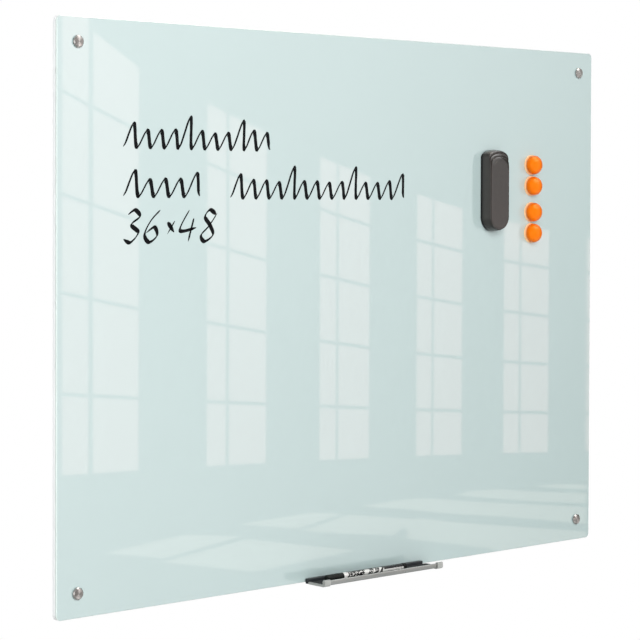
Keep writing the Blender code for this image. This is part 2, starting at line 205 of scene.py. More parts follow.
# Joins two rings of points. One of them may be a single point.
def joinRings(shape, lower, upper):
    count = max(len(lower), len(upper))
    for step in range(count):
        after = (step + 1) % count
        corners = list(dict.fromkeys((
            lower[step % len(lower)], lower[after % len(lower)], upper[after % len(upper)], upper[step % len(upper)],
        )))
        if len(corners) > 2:
            shape.faces.new(corners)


# A body turned about local Z from a profile of radius and height in millimetres. It starts and
# ends on the axis, or closes on itself round a bore. The shaper may change a radius.
def turnedPiece(name, profile, finish, steps, shaper=None):
    shape = bmesh.new()
    rings = []
    for radius, height in inMetres(profile):
        if radius == 0:
            rings.append([shape.verts.new((0, 0, height))])
            continue
        ring = []
        for step in range(steps):
            angle = fullTurn * step / steps
            here = shaper(angle, radius, height) if shaper else radius
            ring.append(shape.verts.new((here * math.cos(angle), here * math.sin(angle), height)))
        rings.append(ring)
    pairs = list(zip(rings, rings[1:]))
    if profile[0][0] > 0:
        pairs.append((rings[-1], rings[0]))
    for lower, upper in pairs:
        joinRings(shape, lower, upper)
    return finishMesh(name, shape, finishes[finish])


# A closed body through rings of points in millimetres, with a flat face at each end.
def loftedPiece(name, rings, finish, degrees=sharpDegrees):
    shape = bmesh.new()
    made = [[shape.verts.new(point) for point in inMetres(ring)] for ring in rings]
    for lower, upper in zip(made, made[1:]):
        joinRings(shape, lower, upper)
    shape.faces.new(made[0][::-1])
    shape.faces.new(made[-1])
    return finishMesh(name, shape, finishes[finish], degrees)


# Adds or cuts another body, and keeps only the result.
def combine(piece, other, operation):
    modifier = piece.modifiers.new("combine", "BOOLEAN")
    modifier.operation = operation
    modifier.solver = "EXACT"
    modifier.object = other
    bpy.context.view_layer.update()
    result = bpy.data.meshes.new_from_object(piece.evaluated_get(bpy.context.evaluated_depsgraph_get()))
    piece.modifiers.clear()
    piece.data = result
    result.shade_smooth()
    result.set_sharp_from_angle(angle=math.radians(sharpDegrees))
    bpy.data.objects.remove(other)


print("stage: materials")

# Back-painted tempered glass: flat float glass, white-green from its own body and the white
# enamel behind. It gives clean mirror-like reflections over a pale, slightly green white.
glassLook = {
    "face": ("#B7C9C8", "#B5C7C6"),
    "edge": "#D3E0DC",
    "edgeFrom": (0.02, 0.10),    # mm behind the face, where the look of the ground edge comes in
    "roughness": (0.017, 0.022),
    "edgeRoughness": 0.35,
}


def makeGlass():
    material, tree, shader, place = newMaterial("tempered glass, white behind", {
        "IOR": 1.52, "Specular IOR Level": 0.85,    # the glass has a second mirror at its back
    })
    depth = addNode(tree, "SeparateXYZ", {"Vector": place}).outputs["Y"]
    onEdge = between(tree, depth, 0, 1, [glassFront + mm * millimetre for mm in glassLook["edgeFrom"]])
    face = between(tree, grainOf(tree, place, 260), *glassLook["face"])
    wipe = grainOf(tree, place, 9, 3.0, (0.12, 1, 1))    # long sideways traces of wiping
    polish = between(tree, wipe, *glassLook["roughness"], (0.35, 0.65))
    ground = addNode(tree, "Math", {0: onEdge, 1: glassLook["edgeRoughness"]}, operation="MULTIPLY").outputs[0]
    roughness = addNode(tree, "Math", {0: polish, 1: ground}, operation="MAXIMUM").outputs[0]
    grit = addNode(tree, "Math", {0: grainOf(tree, place, 0.35), 1: onEdge}, operation="MULTIPLY").outputs[0]
    dress(tree, shader, between(tree, onEdge, face, glassLook["edge"]), roughness, grit, 0.02)
    return material


# Foamed PVC: a dull white skin with fine pores.
def makeFoamBoard():
    material, tree, shader, place = newMaterial("foamed PVC board", {"IOR": 1.53})
    pores = addNode(tree, "TexVoronoi", {"Vector": place, "Scale": 1 / (0.9 * millimetre)}).outputs["Distance"]
    colour = between(tree, grainOf(tree, place, 60), "#F2F4F5", "#ECEFF0")
    dress(tree, shader, colour, between(tree, pores, 0.62, 0.48, (0, 0.6)), pores, 0.05)
    return material


# Turned stainless steel: the tool leaves rings round the axis, so a round face shows
# a pair of bright fans that cross at its middle.
def makeTurnedSteel():
    material, tree, shader, place = newMaterial("turned stainless steel", {
        "Metallic": 1.0, "Anisotropic": 0.95, "Anisotropic Rotation": 0.25,
    })
    parts = addNode(tree, "SeparateXYZ", {"Vector": place}).outputs
    flat = addNode(tree, "CombineXYZ", {"X": parts["X"], "Y": parts["Y"]}).outputs[0]
    radius = addNode(tree, "VectorMath", {0: flat}, operation="LENGTH").outputs["Value"]
    # Feed rings are about 0.06 mm apart on the real cap: drawn at 0.3 mm so that they show.
    rings = addNode(tree, "CombineXYZ", {"X": radius, "Y": parts["Z"]}).outputs[0]
    feed = addNode(tree, "TexNoise", {"Vector": rings, "Scale": 1 / (0.3 * millimetre), "Detail": 2.0}).outputs["Fac"]
    roughness = between(tree, feed, 0.26, 0.33, noiseSpan)
    dress(tree, shader, between(tree, feed, "#A9A6A3", "#8D8B88"), roughness, feed, 0.012)
    fill(tree, shader, {"Tangent": addNode(tree, "Tangent", direction_type="RADIAL", axis="Z").outputs[0]})
    return material


# Anodised aluminium: drawn through a die, so fine lines run along it under a satin oxide.
def makeAluminium():
    material, tree, shader, place = newMaterial("anodised aluminium extrusion", {"Metallic": 1.0, "Anisotropic": 0.4})
    # Die lines are a few hundredths of a millimetre wide: drawn at 0.35 mm so that they show.
    lines = grainOf(tree, place, 0.35, 2.0, (0.004, 1, 1))
    roughness = between(tree, grainOf(tree, place, 30), 0.27, 0.36, noiseSpan)
    dress(tree, shader, between(tree, lines, "#8F9290", "#7E817F"), roughness, lines, 0.012)
    return material


# Wool felt: pressed fibres without a weave, dull black with a soft sheen and paler hairs.
def makeFelt():
    material, tree, shader, place = newMaterial("pressed wool felt", {
        "Specular IOR Level": 0.1, "Sheen Weight": 0.08, "Sheen Roughness": 0.6,
    })
    hairs = grainOf(tree, place, 0.45, 4.0, (1, 0.35, 1))
    relief = addNode(tree, "Math", {0: hairs, 1: grainOf(tree, place, 3.2)}, operation="ADD").outputs[0]
    dress(tree, shader, between(tree, hairs, "#131415", "#25272A", (0.5, 0.72)), 0.95, relief, 0.25)
    return material


# Printed polypropylene: a white barrel with plain slanted black bands, broken by small bare
# specks, and a black strip along the top of its tail. All are distances along the marker.
barrelPrint = {
    "bandsMm": ((44.9, 83.0), (93.0, 103.0), (107.0, 116.0), (120.5, 126.5)),
    "slant": 0.55,
    "stripMm": (129.0, 175.5),
    "stripAbove": 0.9,    # mm over the barrel's axis
    "specksMm": 2.6,
    "white": "#E4E4E0",
    "ink": "#141517",
}


def makeBarrelPlastic():
    look = barrelPrint
    material, tree, shader, place = newMaterial("printed white polypropylene", {
        "IOR": 1.49, "Specular IOR Level": 0.25,
    })
    parts = addNode(tree, "SeparateXYZ", {"Vector": place}).outputs

    def stretchOf(position, ends):
        middle, half = (ends[0] + ends[1]) / 2 * millimetre, (ends[1] - ends[0]) / 2 * millimetre
        return addNode(tree, "Math", {0: position, 1: middle, 2: half}, operation="COMPARE").outputs[0]

    along = addNode(tree, "Math", {
        0: parts["X"], 1: look["slant"], 2: parts["Z"],
    }, operation="MULTIPLY_ADD").outputs[0]
    bands = [stretchOf(along, ends) for ends in look["bandsMm"]]
    printed = bands[0]
    for band in bands[1:]:
        printed = addNode(tree, "Math", {0: printed, 1: band}, operation="MAXIMUM").outputs[0]
    specks = between(tree, grainOf(tree, place, look["specksMm"], 1.0), 1, 0, (0.57, 0.60))
    printed = addNode(tree, "Math", {0: printed, 1: specks}, operation="MULTIPLY").outputs[0]
    above = addNode(tree, "Math", {
        0: parts["X"], 1: -look["stripAbove"] * millimetre,
    }, operation="LESS_THAN").outputs[0]
    tail = stretchOf(parts["Z"], look["stripMm"])
    strip = addNode(tree, "Math", {0: tail, 1: above}, operation="MULTIPLY").outputs[0]
    printed = addNode(tree, "Math", {0: printed, 1: strip}, operation="MAXIMUM").outputs[0]
    roughness = between(tree, grainOf(tree, place, 6.0), 0.24, 0.34, noiseSpan)
    dress(tree, shader, between(tree, printed, look["white"], look["ink"]), roughness, grainOf(tree, place, 0.4), 0.008)
    return material


# The magnets' ABS: a deep orange with a soft satin gloss. Near the foot the orange is painted
# pale cream, a painted highlight for the bright rim lit from below and to the left.
def makeMagnetPlastic():
    material, tree, shader, place = newMaterial("orange ABS", {
        "IOR": 1.54, "Specular IOR Level": 0.35, "Specular Tint": "#FFB878",
    })
    out = addNode(tree, "SeparateXYZ", {"Vector": place}).outputs["Z"]
    cloud = grainOf(tree, place, 14)
    orange = between(tree, cloud, "#FF7D08", "#FA7504")
    # Painted highlight: the foot of the cap fades to pale cream all round.
    foot = between(tree, out, 1, 0, (3.0 * millimetre, 5.5 * millimetre), "SMOOTHSTEP")
    roughness = between(tree, cloud, 0.3, 0.38, noiseSpan)
    dress(tree, shader, between(tree, foot, orange, "#FFD2A0"), roughness, grainOf(tree, place, 0.6, 3.0), 0.002)
    return material


finishes = {
    "glass": makeGlass(),
    "foam_board": makeFoamBoard(),
    "turned_steel": makeTurnedSteel(),
    "tray_aluminium": makeAluminium(),
    "eraser_felt": makeFelt(),
    "barrel": makeBarrelPlastic(),
    "orange_abs": makeMagnetPlastic(),
    # Enamelled steel: a hard white glaze with a slight orange peel over a thin sheet.
    "white_steel": noiseFinish(
        "vitreous enamel on steel", {"IOR": 1.5, "Coat Weight": 0.4, "Coat Roughness": 0.08},
        colours=("#DFE5E3", "#E7ECEA"), roughness=(0.22, 0.30), noise=(2.4, 1.0), depthMm=0.03,
    ),
    # Zinc-plated steel: a thin bright plate with a faint yellow and blue cast in patches.
    "screw_steel": noiseFinish(
        "zinc-plated steel", {"Metallic": 1.0},
        colours=("#B9B8AE", "#A9AEB4"), roughness=(0.26, 0.42), noise=(2.2, 3.0), depthMm=0.01,
        fine=(0.3,), span=(0.35, 0.65),
    ),
    # Clear vinyl: soft, nearly colourless plastic. Its edge gathers light and shows pale grey.
    "clear_vinyl": noiseFinish(
        "clear vinyl", {"IOR": 1.53, "Transmission Weight": 0.75},
        colours=("#E9EEEE", "#DDE4E4"), roughness=(0.12, 0.24), noise=(3.0,), depthMm=0.01, fine=(0.5,),
    ),
    # Nickel plate: warmer and more mirror-like than zinc, with faint rack marks.
    "nickel": noiseFinish(
        "nickel plate", {"Metallic": 1.0},
        colours=("#CFC8BB", "#BFB8AC"), roughness=(0.12, 0.24), noise=(4.0,), depthMm=0.006, fine=(0.4,),
    ),
    # Ferrite: sintered ceramic, charcoal grey with pressed grain and chipped bright specks.
    "ferrite": noiseFinish(
        "sintered ferrite", {},
        colours=("#2C2C2E", "#48484B"), roughness=(0.62, 0.45), noise=(0.5, 4.0), depthMm=0.06, span=(0.45, 0.7),
    ),
    # Flexible magnet: ferrite powder in rubber, rolled, so it is matt brown-black with a fine drag.
    "strip_magnet": noiseFinish(
        "flexible magnet strip", {"IOR": 1.5},
        colours=("#211E1C", "#312D2A"), roughness=(0.7, 0.55), noise=(0.6, 3.0, (0.08, 1, 1)), depthMm=0.03,
    ),
    # Rubber mat: calendered, with a dusty bloom that lifts the black between its ribs.
    "mat_rubber": noiseFinish(
        "ribbed rubber", {"IOR": 1.52, "Specular IOR Level": 0.15, "Sheen Weight": 0.03},
        colours=("#1A1C1E", "#2A2D30"), roughness=(0.85, 0.68), noise=(7.0, 3.0), depthMm=0.03, fine=(0.35, 3.0),
    ),
    # Bonded fibre: the nib and the reservoir are bundles of polyester threads soaked with ink.
    "marker_fibre": noiseFinish(
        "bonded polyester fibre", {"Sheen Weight": 0.2},
        colours=("#101012", "#2B2B2F"), roughness=(0.9, 0.7), noise=(0.14, 3.0, (1, 1, 0.05)), depthMm=0.03,
    ),
    # Dry-erase ink: a thin film of pigment, black and slightly mottled, with a dull gloss.
    "ink": noiseFinish(
        "dry-erase ink film", {"IOR": 1.48, "Specular IOR Level": 0.08},
        colours=("#050608", "#111316"), roughness=(0.38, 0.55), noise=(1.6, 3.0), depthMm=0.02, span=(0.4, 0.7),
    ),
    # Natural nylon is milky and slightly yellow, and lets some light in.
    "nylon": mouldedPlastic(
        "natural nylon", {"IOR": 1.53, "Subsurface Weight": 0.2, "Subsurface Scale": 0.002},
        colours=("#DAD6C8", "#D2CDBC"), roughness=(0.38, 0.5), grainMm=0.5, depthMm=0.01,
    ),
    # The eraser's ABS has a fine satin grain and a warm cast.
    "eraser_abs": mouldedPlastic(
        "charcoal ABS", {"IOR": 1.54, "Specular IOR Level": 0.45},
        colours=("#2A2623", "#2E2A26"), roughness=(0.2, 0.25), grainMm=0.9, depthMm=0.0008,
    ),
    # The magnets' base rings are the same plastic as their caps, cast paler, and their pale colour is partly a painted
    # highlight for the bright rim lit from below.
    "peach_abs": mouldedPlastic(
        "pale orange ABS", {"IOR": 1.54, "Specular IOR Level": 0.3},
        colours=("#FBD3A6", "#F7C794"), roughness=(0.24, 0.34), grainMm=0.6, depthMm=0.004,
    ),
    # The tray's rail has a coarse spark finish, which looks dark slate under a white sky.
    "rail_abs": mouldedPlastic(
        "black ABS", {"IOR": 1.54, "Specular IOR Level": 0.2},
        colours=("#212528", "#272B2E"), roughness=(0.42, 0.55), grainMm=0.5, depthMm=0.008,
    ),
    # The tray's end trims are coloured right through, to match the metal.
    "trim_abs": mouldedPlastic(
        "silver-grey ABS", {"IOR": 1.54, "Specular IOR Level": 0.3},
        colours=("#A9ABA8", "#A1A3A0"), roughness=(0.28, 0.36), grainMm=0.35, depthMm=0.004,
    ),
    # The marker's polypropylene is waxy, with a soft gloss on the black and on the white.
    "marker_black": mouldedPlastic(
        "black polypropylene", {"IOR": 1.49, "Specular IOR Level": 0.1},
        colours=("#151816", "#1B1F1D"), roughness=(0.2, 0.3), grainMm=0.5, depthMm=0.01,
    ),
    "marker_white": mouldedPlastic(
        "white polypropylene", {"IOR": 1.49},
        colours=("#E6E6E2", "#DEDEDA"), roughness=(0.26, 0.36), grainMm=0.5, depthMm=0.008,
    ),
    # Sealant is a soft, bright white with a low gloss.
    "sealant": mouldedPlastic(
        "white silicone sealant", {"IOR": 1.43},
        colours=("#F0F2F1", "#E8EAEA"), roughness=(0.4, 0.5), grainMm=0.8, depthMm=0.01,
    ),
}


print("stage: sealant")

# A bead of sealant fills the seam between the glass and the backing board, round the edge of
# the steel sheet. Millimetres, in from the edge and out from the backing board.
seal = {
    "outside": 0.35,
    "inside": 1.75,
    "gap": 0.08,
    "corner": 8.0,
    "cornerSteps": 10,
}


def buildSeal():
    s = seal
    gap = s["gap"] * millimetre
    back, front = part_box("backing_board")[0][1] - gap, boardHigh[1] + gap
    shape = bmesh.new()
    rings = []
    for inset, y in ((s["outside"], back), (s["outside"], front), (s["inside"], front), (s["inside"], back)):
        away = inset * millimetre
        outline = roundedOutline(
            boardLow[0] + away, boardHigh[0] - away, boardLow[2] + away, boardHigh[2] - away,
            s["corner"] * millimetre - away, s["cornerSteps"],
        )
        rings.append([shape.verts.new((x, y, z)) for x, z in outline])
    for lower, upper in zip(rings, rings[1:] + rings[:1]):
        joinRings(shape, lower, upper)
    settle(finishMesh("edgeSealant", shape, finishes["sealant"]), "board")


buildSeal()


print("stage: standoffs")

# Standoff sizes in millimetres, as distances out from the wall
standoff = {
    "radius": 9.5,
    "edge": 0.6,
    "bore": 4.3,
    "barrelBase": 3.4,
    "barrelTop": 13.4,
    "barrelSoft": 0.15,
    "capBack": 27.6,
    "capFront": 30.6,
    "capFace": 7.6,
    "capRim": 1.0,
    "capChamfer": 0.3,
    "capSoft": 0.12,
    "studRadius": 4.0,
    "studEnd": 7.5,
    "rearWasher": (8.5, 13.7, 14.7),    # radius, back and front
    "frontWasher": (8.5, 26.3, 27.3),
    "sleeve": (5.7, 15.0, 26.0),
    "ringSoft": 0.25,
    "screwRadius": 2.0,
    "screwClearance": 2.3,
    "screwReach": 30.0,
    "screwTip": 5.0,
    "screwRows": 150,
    "screwSeat": 3.7,
    "headHeight": 2.6,
    "headSide": 1.0,
    "headRound": (0.4, 0.35),
    "recess": (1.2, 1.0, 1.2),    # the drive's radius at its mouth and its floor, and its depth
    "threadPitch": 1.4,
    "threadDepth": 0.5,
    "threadSharpness": 3.2,
    "threadStart": 0.4,
    "threadFade": (1.2, 2.0),    # from its start, and before the point
    "steps": 96,    # points round the metal, then round the screw and round the rings
    "screwSteps": 40,
    "ringSteps": 72,
}


# The thread rises once round the shank in each pitch, and runs out at the point. The last
# millimetre before the wall's face is plain.
def threadShape(angle, radius, height):
    s = standoff
    out = height / millimetre
    if out >= -s["threadStart"]:
        return radius
    rise = (out / s["threadPitch"] - angle / fullTurn) % 1.0
    ridge = max(0.0, 1 - abs(rise - 0.5) * s["threadSharpness"])
    startFade, pointFade = s["threadFade"]
    fade = clamp((-out - s["threadStart"]) / startFade) * clamp((out + s["screwReach"]) / pointFade)
    depth = s["threadDepth"] * millimetre * min(1.0, radius / (s["screwRadius"] * millimetre))
    return radius - depth * (1 - ridge * fade - clamp(1 + out))


def buildStandoff(corner):
    s = standoff
    soft = s["edge"]
    length = s["screwReach"]
    screw = [(0, -length)]
    for row in range(1, s["screwRows"] + 1):
        out = -length + length * row / s["screwRows"]
        screw.append((s["screwRadius"] * min(1.0, (out + length) / s["screwTip"]), out))
    seat = s["screwSeat"]
    head = seat + s["headHeight"]
    inset, drop = s["headRound"]
    mouth, floor, deep = s["recess"]
    screw += [
        (s["screwRadius"], seat), (s["studRadius"], seat), (s["studRadius"], head - s["headSide"]),
        (s["studRadius"] - inset, head - drop), (s["screwRadius"], head),
        (mouth, head), (floor, head - deep), (0, head - deep),
    ]

    outer, inner = s["radius"], s["radius"] - soft
    barrel = eased([
        (s["screwClearance"], 0), (inner, 0), (outer, soft), (outer, s["barrelTop"] - soft),
        (inner, s["barrelTop"]), (s["bore"], s["barrelTop"]), (s["bore"], s["barrelBase"]),
        (s["screwClearance"], s["barrelBase"]),
    ], s["barrelSoft"])

    stud, end, back = s["studRadius"], s["studEnd"], s["capBack"]
    cap = eased([
        (0, end), (stud - soft, end), (stud, end + soft), (stud, back), (outer - s["capChamfer"], back),
        (outer, back + s["capChamfer"]), (outer, back + s["capRim"]), (s["capFace"], s["capFront"]), (0, s["capFront"]),
    ], s["capSoft"], closed=False)

    rings = {}
    for name in ("rearWasher", "frontWasher", "sleeve"):
        radius, low, high = s[name]
        rings[name] = eased([(s["bore"], low), (radius, low), (radius, high), (s["bore"], high)], s["ringSoft"])

    place = middleOf("standoff_cap_" + corner, 0.0)
    for name, node, profile, finish, steps, shaper in (
        ("wallScrew_", "wall_screw_", screw, "screw_steel", s["screwSteps"], threadShape),
        ("standoffBarrel_", "standoff_barrel_", barrel, "turned_steel", s["steps"], None),
        ("standoffCap_", "standoff_cap_", cap, "turned_steel", s["steps"], None),
        ("rearWasher_", "rear_washer_", rings["rearWasher"], "clear_vinyl", s["ringSteps"], None),
        ("frontWasher_", "front_washer_", rings["frontWasher"], "clear_vinyl", s["ringSteps"], None),
        ("sleeve_", "sleeve_", rings["sleeve"], "nylon", s["ringSteps"], None),
    ):
        piece = turnedPiece(name + corner, profile, finish, steps, shaper)
        settle(piece, "board", node + corner, place, facingRoom)


for corner in ("top_left", "top_right", "bottom_left", "bottom_right"):
    buildStandoff(corner)


print("stage: eraser")

# Eraser sizes in millimetres. Each level is a height off the glass with how far the outline
# has come in at the sides, the top end and the bottom end.
eraser = {
    "width": 55.0,
    "length": 147.0,
    "cornerAcross": 26.2,
    "topRise": 13.0,
    "topRiseGrowth": 0.45,    # the top end gets rounder as its outline comes in
    "bottomRise": 27.0,
    "levels": (
        (5.4, 0.35, 0.35, 0.35), (5.7, 0.05, 0.05, 0.05), (6.4, 0.0, 0.0, 0.0), (12.0, 1.0, 0.6, 1.0),
        (17.6, 2.1, 1.5, 2.1), (19.2, 2.4, 2.2, 2.4), (19.9, 2.55, 3.6, 2.55), (20.0, 2.65, 5.0, 2.65),
        (19.1, 2.75, 5.9, 2.75), (19.0, 2.85, 6.9, 2.85), (20.7, 3.0, 7.7, 3.0), (21.5, 3.2, 9.2, 3.2),
        (21.8, 3.4, 10.8, 3.4), (21.0, 3.5, 11.6, 3.5), (21.0, 3.6, 12.5, 3.6), (22.8, 3.8, 13.4, 3.8),
        (23.6, 4.5, 15.6, 4.5), (24.0, 5.3, 17.8, 5.2), (24.0, 6.2, 19.4, 6.1), (23.7, 6.4, 19.8, 6.3),
        (23.7, 6.8, 20.3, 6.7), (23.95, 7.0, 20.6, 6.9),
    ),
    "hollow": ((5.4, 2.9, 2.9, 2.9), (16.5, 4.5, 5.0, 4.5), (20.8, 6.8, 13.5, 6.8)),    # its inside's levels
    "sharpDegrees": 28,
    "outlineSteps": 20,
    "feltMargin": 0.9,
    "feltLow": 0.3,
    "feltHigh": 5.1,
    "feltLayers": 6,
    "feltRound": 0.3,
    "feltFray": 0.35,
    "feltSharpDegrees": 50,
    "seed": 7,
}


# The outline at one height: a quarter of an ellipse round each corner.
def eraserRing(height, side, top, bottom):
    e = eraser
    across = e["cornerAcross"] - side
    centre = e["width"] / 2 - e["cornerAcross"]
    topRise = e["topRise"] + e["topRiseGrowth"] * (top - side)
    ring = []
    for number, (sideways, end) in enumerate(((1, 1), (-1, 1), (-1, -1), (1, -1))):
        rise, inset = (topRise, top) if end > 0 else (e["bottomRise"] - side, bottom)
        reach = e["length"] / 2 - inset - rise
        for step in range(e["outlineSteps"] + 1):
            angle = (number + step / e["outlineSteps"]) * quarterTurn
            ring.append((sideways * centre + across * math.cos(angle), end * reach + rise * math.sin(angle), height))
    return ring


def buildEraser():
    e = eraser
    place = middleOf("eraser_shell", glassFront)
    shape = bmesh.new()
    outer, inner = [
        [[shape.verts.new(point) for point in inMetres(eraserRing(*level))] for level in levels]
        for levels in (e["levels"], e["hollow"])
    ]
    for rings in (outer, inner):
        for lower, upper in zip(rings, rings[1:]):
            joinRings(shape, lower, upper)
        shape.faces.new(rings[-1])
    joinRings(shape, outer[0], inner[0])
    shell = finishMesh("eraserShell", shape, finishes["eraser_abs"], e["sharpDegrees"])
    settle(shell, "eraser", "eraser_shell", place, facingRoom)

    # Each point of the felt frays inwards by chance.
    dice = random.Random(e["seed"])
    rings = []
    for layer in range(e["feltLayers"] + 1):
        height = e["feltLow"] + (e["feltHigh"] - e["feltLow"]) * layer / e["feltLayers"]
        inset = e["feltMargin"] + (e["feltRound"] if layer in (0, e["feltLayers"]) else 0)
        ring = []
        for x, y, z in eraserRing(height, inset, inset, inset):
            keep = 1 - dice.uniform(0, e["feltFray"]) / Vector((x, y)).length
            ring.append((x * keep, y * keep, z))
        rings.append(ring)
    felt = loftedPiece("eraserFelt", rings, "eraser_felt", e["feltSharpDegrees"])
    settle(felt, "eraser", "eraser_felt_pad", place, facingRoom)


buildEraser()


print("stage: magnets")

# Button magnet sizes in millimetres, as heights off the glass
button = {
    "count": 4,
    "radius": 17.0,
    "foot": 16.4,
    "wallBack": 2.0,
    "wallTop": 8.5,
    "wallSteps": 6,
    "top": 21.5,
    "domeSteps": 20,
    "baseRadius": 18.4,
    "baseLow": 0.3,
    "baseHigh": 1.7,
    "baseRound": 0.9,
    "baseEdge": 0.2,
    "baseSteps": 8,
    "bore": 9.3,
    "discRadius": 9.0,
    "discHigh": 4.8,
    "soft": 0.3,    # small edges, and the room over the disc
    "steps": 96,    # points round it
    "discSteps": 64,
}


def buildMagnet(number):
    b = button
    soft = b["soft"]
    low = b["baseLow"]
    base = [(b["bore"], low), (b["baseRadius"] - b["baseEdge"], low), (b["baseRadius"], low + soft)]
    for step in range(b["baseSteps"] + 1):
        angle = quarterTurn * step / b["baseSteps"]
        inset, drop = b["baseRound"] * (1 - math.cos(angle)), b["baseRound"] * (1 - math.sin(angle))
        base.append((b["baseRadius"] - inset, b["baseHigh"] - drop))
    base.append((b["bore"], b["baseHigh"]))

    roof = b["discHigh"] + soft
    cap = [(0, roof), (b["bore"], roof), (b["bore"], b["wallBack"]), (b["foot"] - soft, b["wallBack"])]
    for step in range(b["wallSteps"] + 1):
        share = step / b["wallSteps"]
        flare = (b["radius"] - b["foot"]) * math.sin(quarterTurn * share)
        cap.append((b["foot"] + flare, b["wallBack"] + soft + (b["wallTop"] - b["wallBack"] - soft) * share))
    for step in range(1, b["domeSteps"]):
        angle = quarterTurn * step / b["domeSteps"]
        cap.append((b["radius"] * math.cos(angle), b["wallTop"] + (b["top"] - b["wallTop"]) * math.sin(angle)))
    cap.append((0, b["top"]))

    disc = [(0, low), (b["discRadius"], low), (b["discRadius"], b["discHigh"]), (0, b["discHigh"])]
    disc = eased(disc, soft, closed=False)
    place = middleOf(f"magnet_base_{number}", glassFront)
    for name, node, profile, finish, steps in (
        ("magnetBase", "magnet_base", base, "peach_abs", b["steps"]),
        ("magnetCap", "magnet_cap", cap, "orange_abs", b["steps"]),
        ("magnetDisc", "magnet_disc", disc, "nickel", b["discSteps"]),
    ):
        piece = turnedPiece(f"{name}_{number}", profile, finish, steps)
        settle(piece, f"magnet_{number}", f"{node}_{number}", place, facingRoom)


for number in range(1, button["count"] + 1):
    buildMagnet(number)


print("stage: tray")

# Tray sizes in millimetres: out from the glass, and up from its underside
tray = {
    "length": 276.0,
    "depth": 50.0,
    "lift": 1.4,
    "railShort": 6.0,
    "railDepth": 9.5,
    "railHeight": 8.2,
    "railCorner": 4.5,
    "railCornerSteps": 12,
    "railFoot": 0.25,
    "railShoulder": (0.25, 0.22),    # down from its top, and in from its side
    "railRound": 0.8,
    "railGroove": 4.0,
    "stripHeight": 5.0,
    "stripThickness": 1.6,
    "stripMargin": 12.0,
    "floor": 1.6,
    "floorRound": 1.2,
    "floorRoundSteps": 5,
    "lip": 8.6,
    "lipThickness": 3.0,
    "lipBottomRadius": 3.0,
    "arcSteps": 12,
    "trimLength": 13.0,
    "trimWall": 1.2,
    "trimPlate": 2.0,
    "trimHook": 3.5,
    "matTop": 2.7,
    "ribDepth": 0.25,
    "ribPitch": 2.2,
    "ribShape": ((0.1, 0), (0.3, 1), (0.55, 1), (0.75, 0)),    # along the pitch, and how high
    "gap": 0.3,
    "overcut": 2.0,
}


def arcPoints(centre, radius, start, end, steps):
    points = []
    for step in range(steps + 1):
        angle = start + (end - start) * step / steps
        points.append((centre[0] + radius * math.cos(angle), centre[1] + radius * math.sin(angle)))
    return points


# The channel's outer skin from under the floor to over the lip, moved out by an offset.
def lipPath(start, offset):
    t = tray
    topRadius = t["lipThickness"] / 2
    lowCentre = (t["depth"] - t["lipBottomRadius"], t["lipBottomRadius"])
    topCentre = (t["depth"] - topRadius, t["lip"] - topRadius)
    path = [(start, -offset)]
    path += arcPoints(lowCentre, t["lipBottomRadius"] + offset, -quarterTurn, 0, t["arcSteps"])
    path += arcPoints(topCentre, topRadius + offset, 0, 2 * quarterTurn, t["arcSteps"])
    return path


# A tray section, given as distance from the glass and height, drawn along the board.
def sectionPiece(name, points, start, end, finish):
    return loftedPiece(name, [[(x, up, out) for out, up in points] for x in (start, end)], finish)


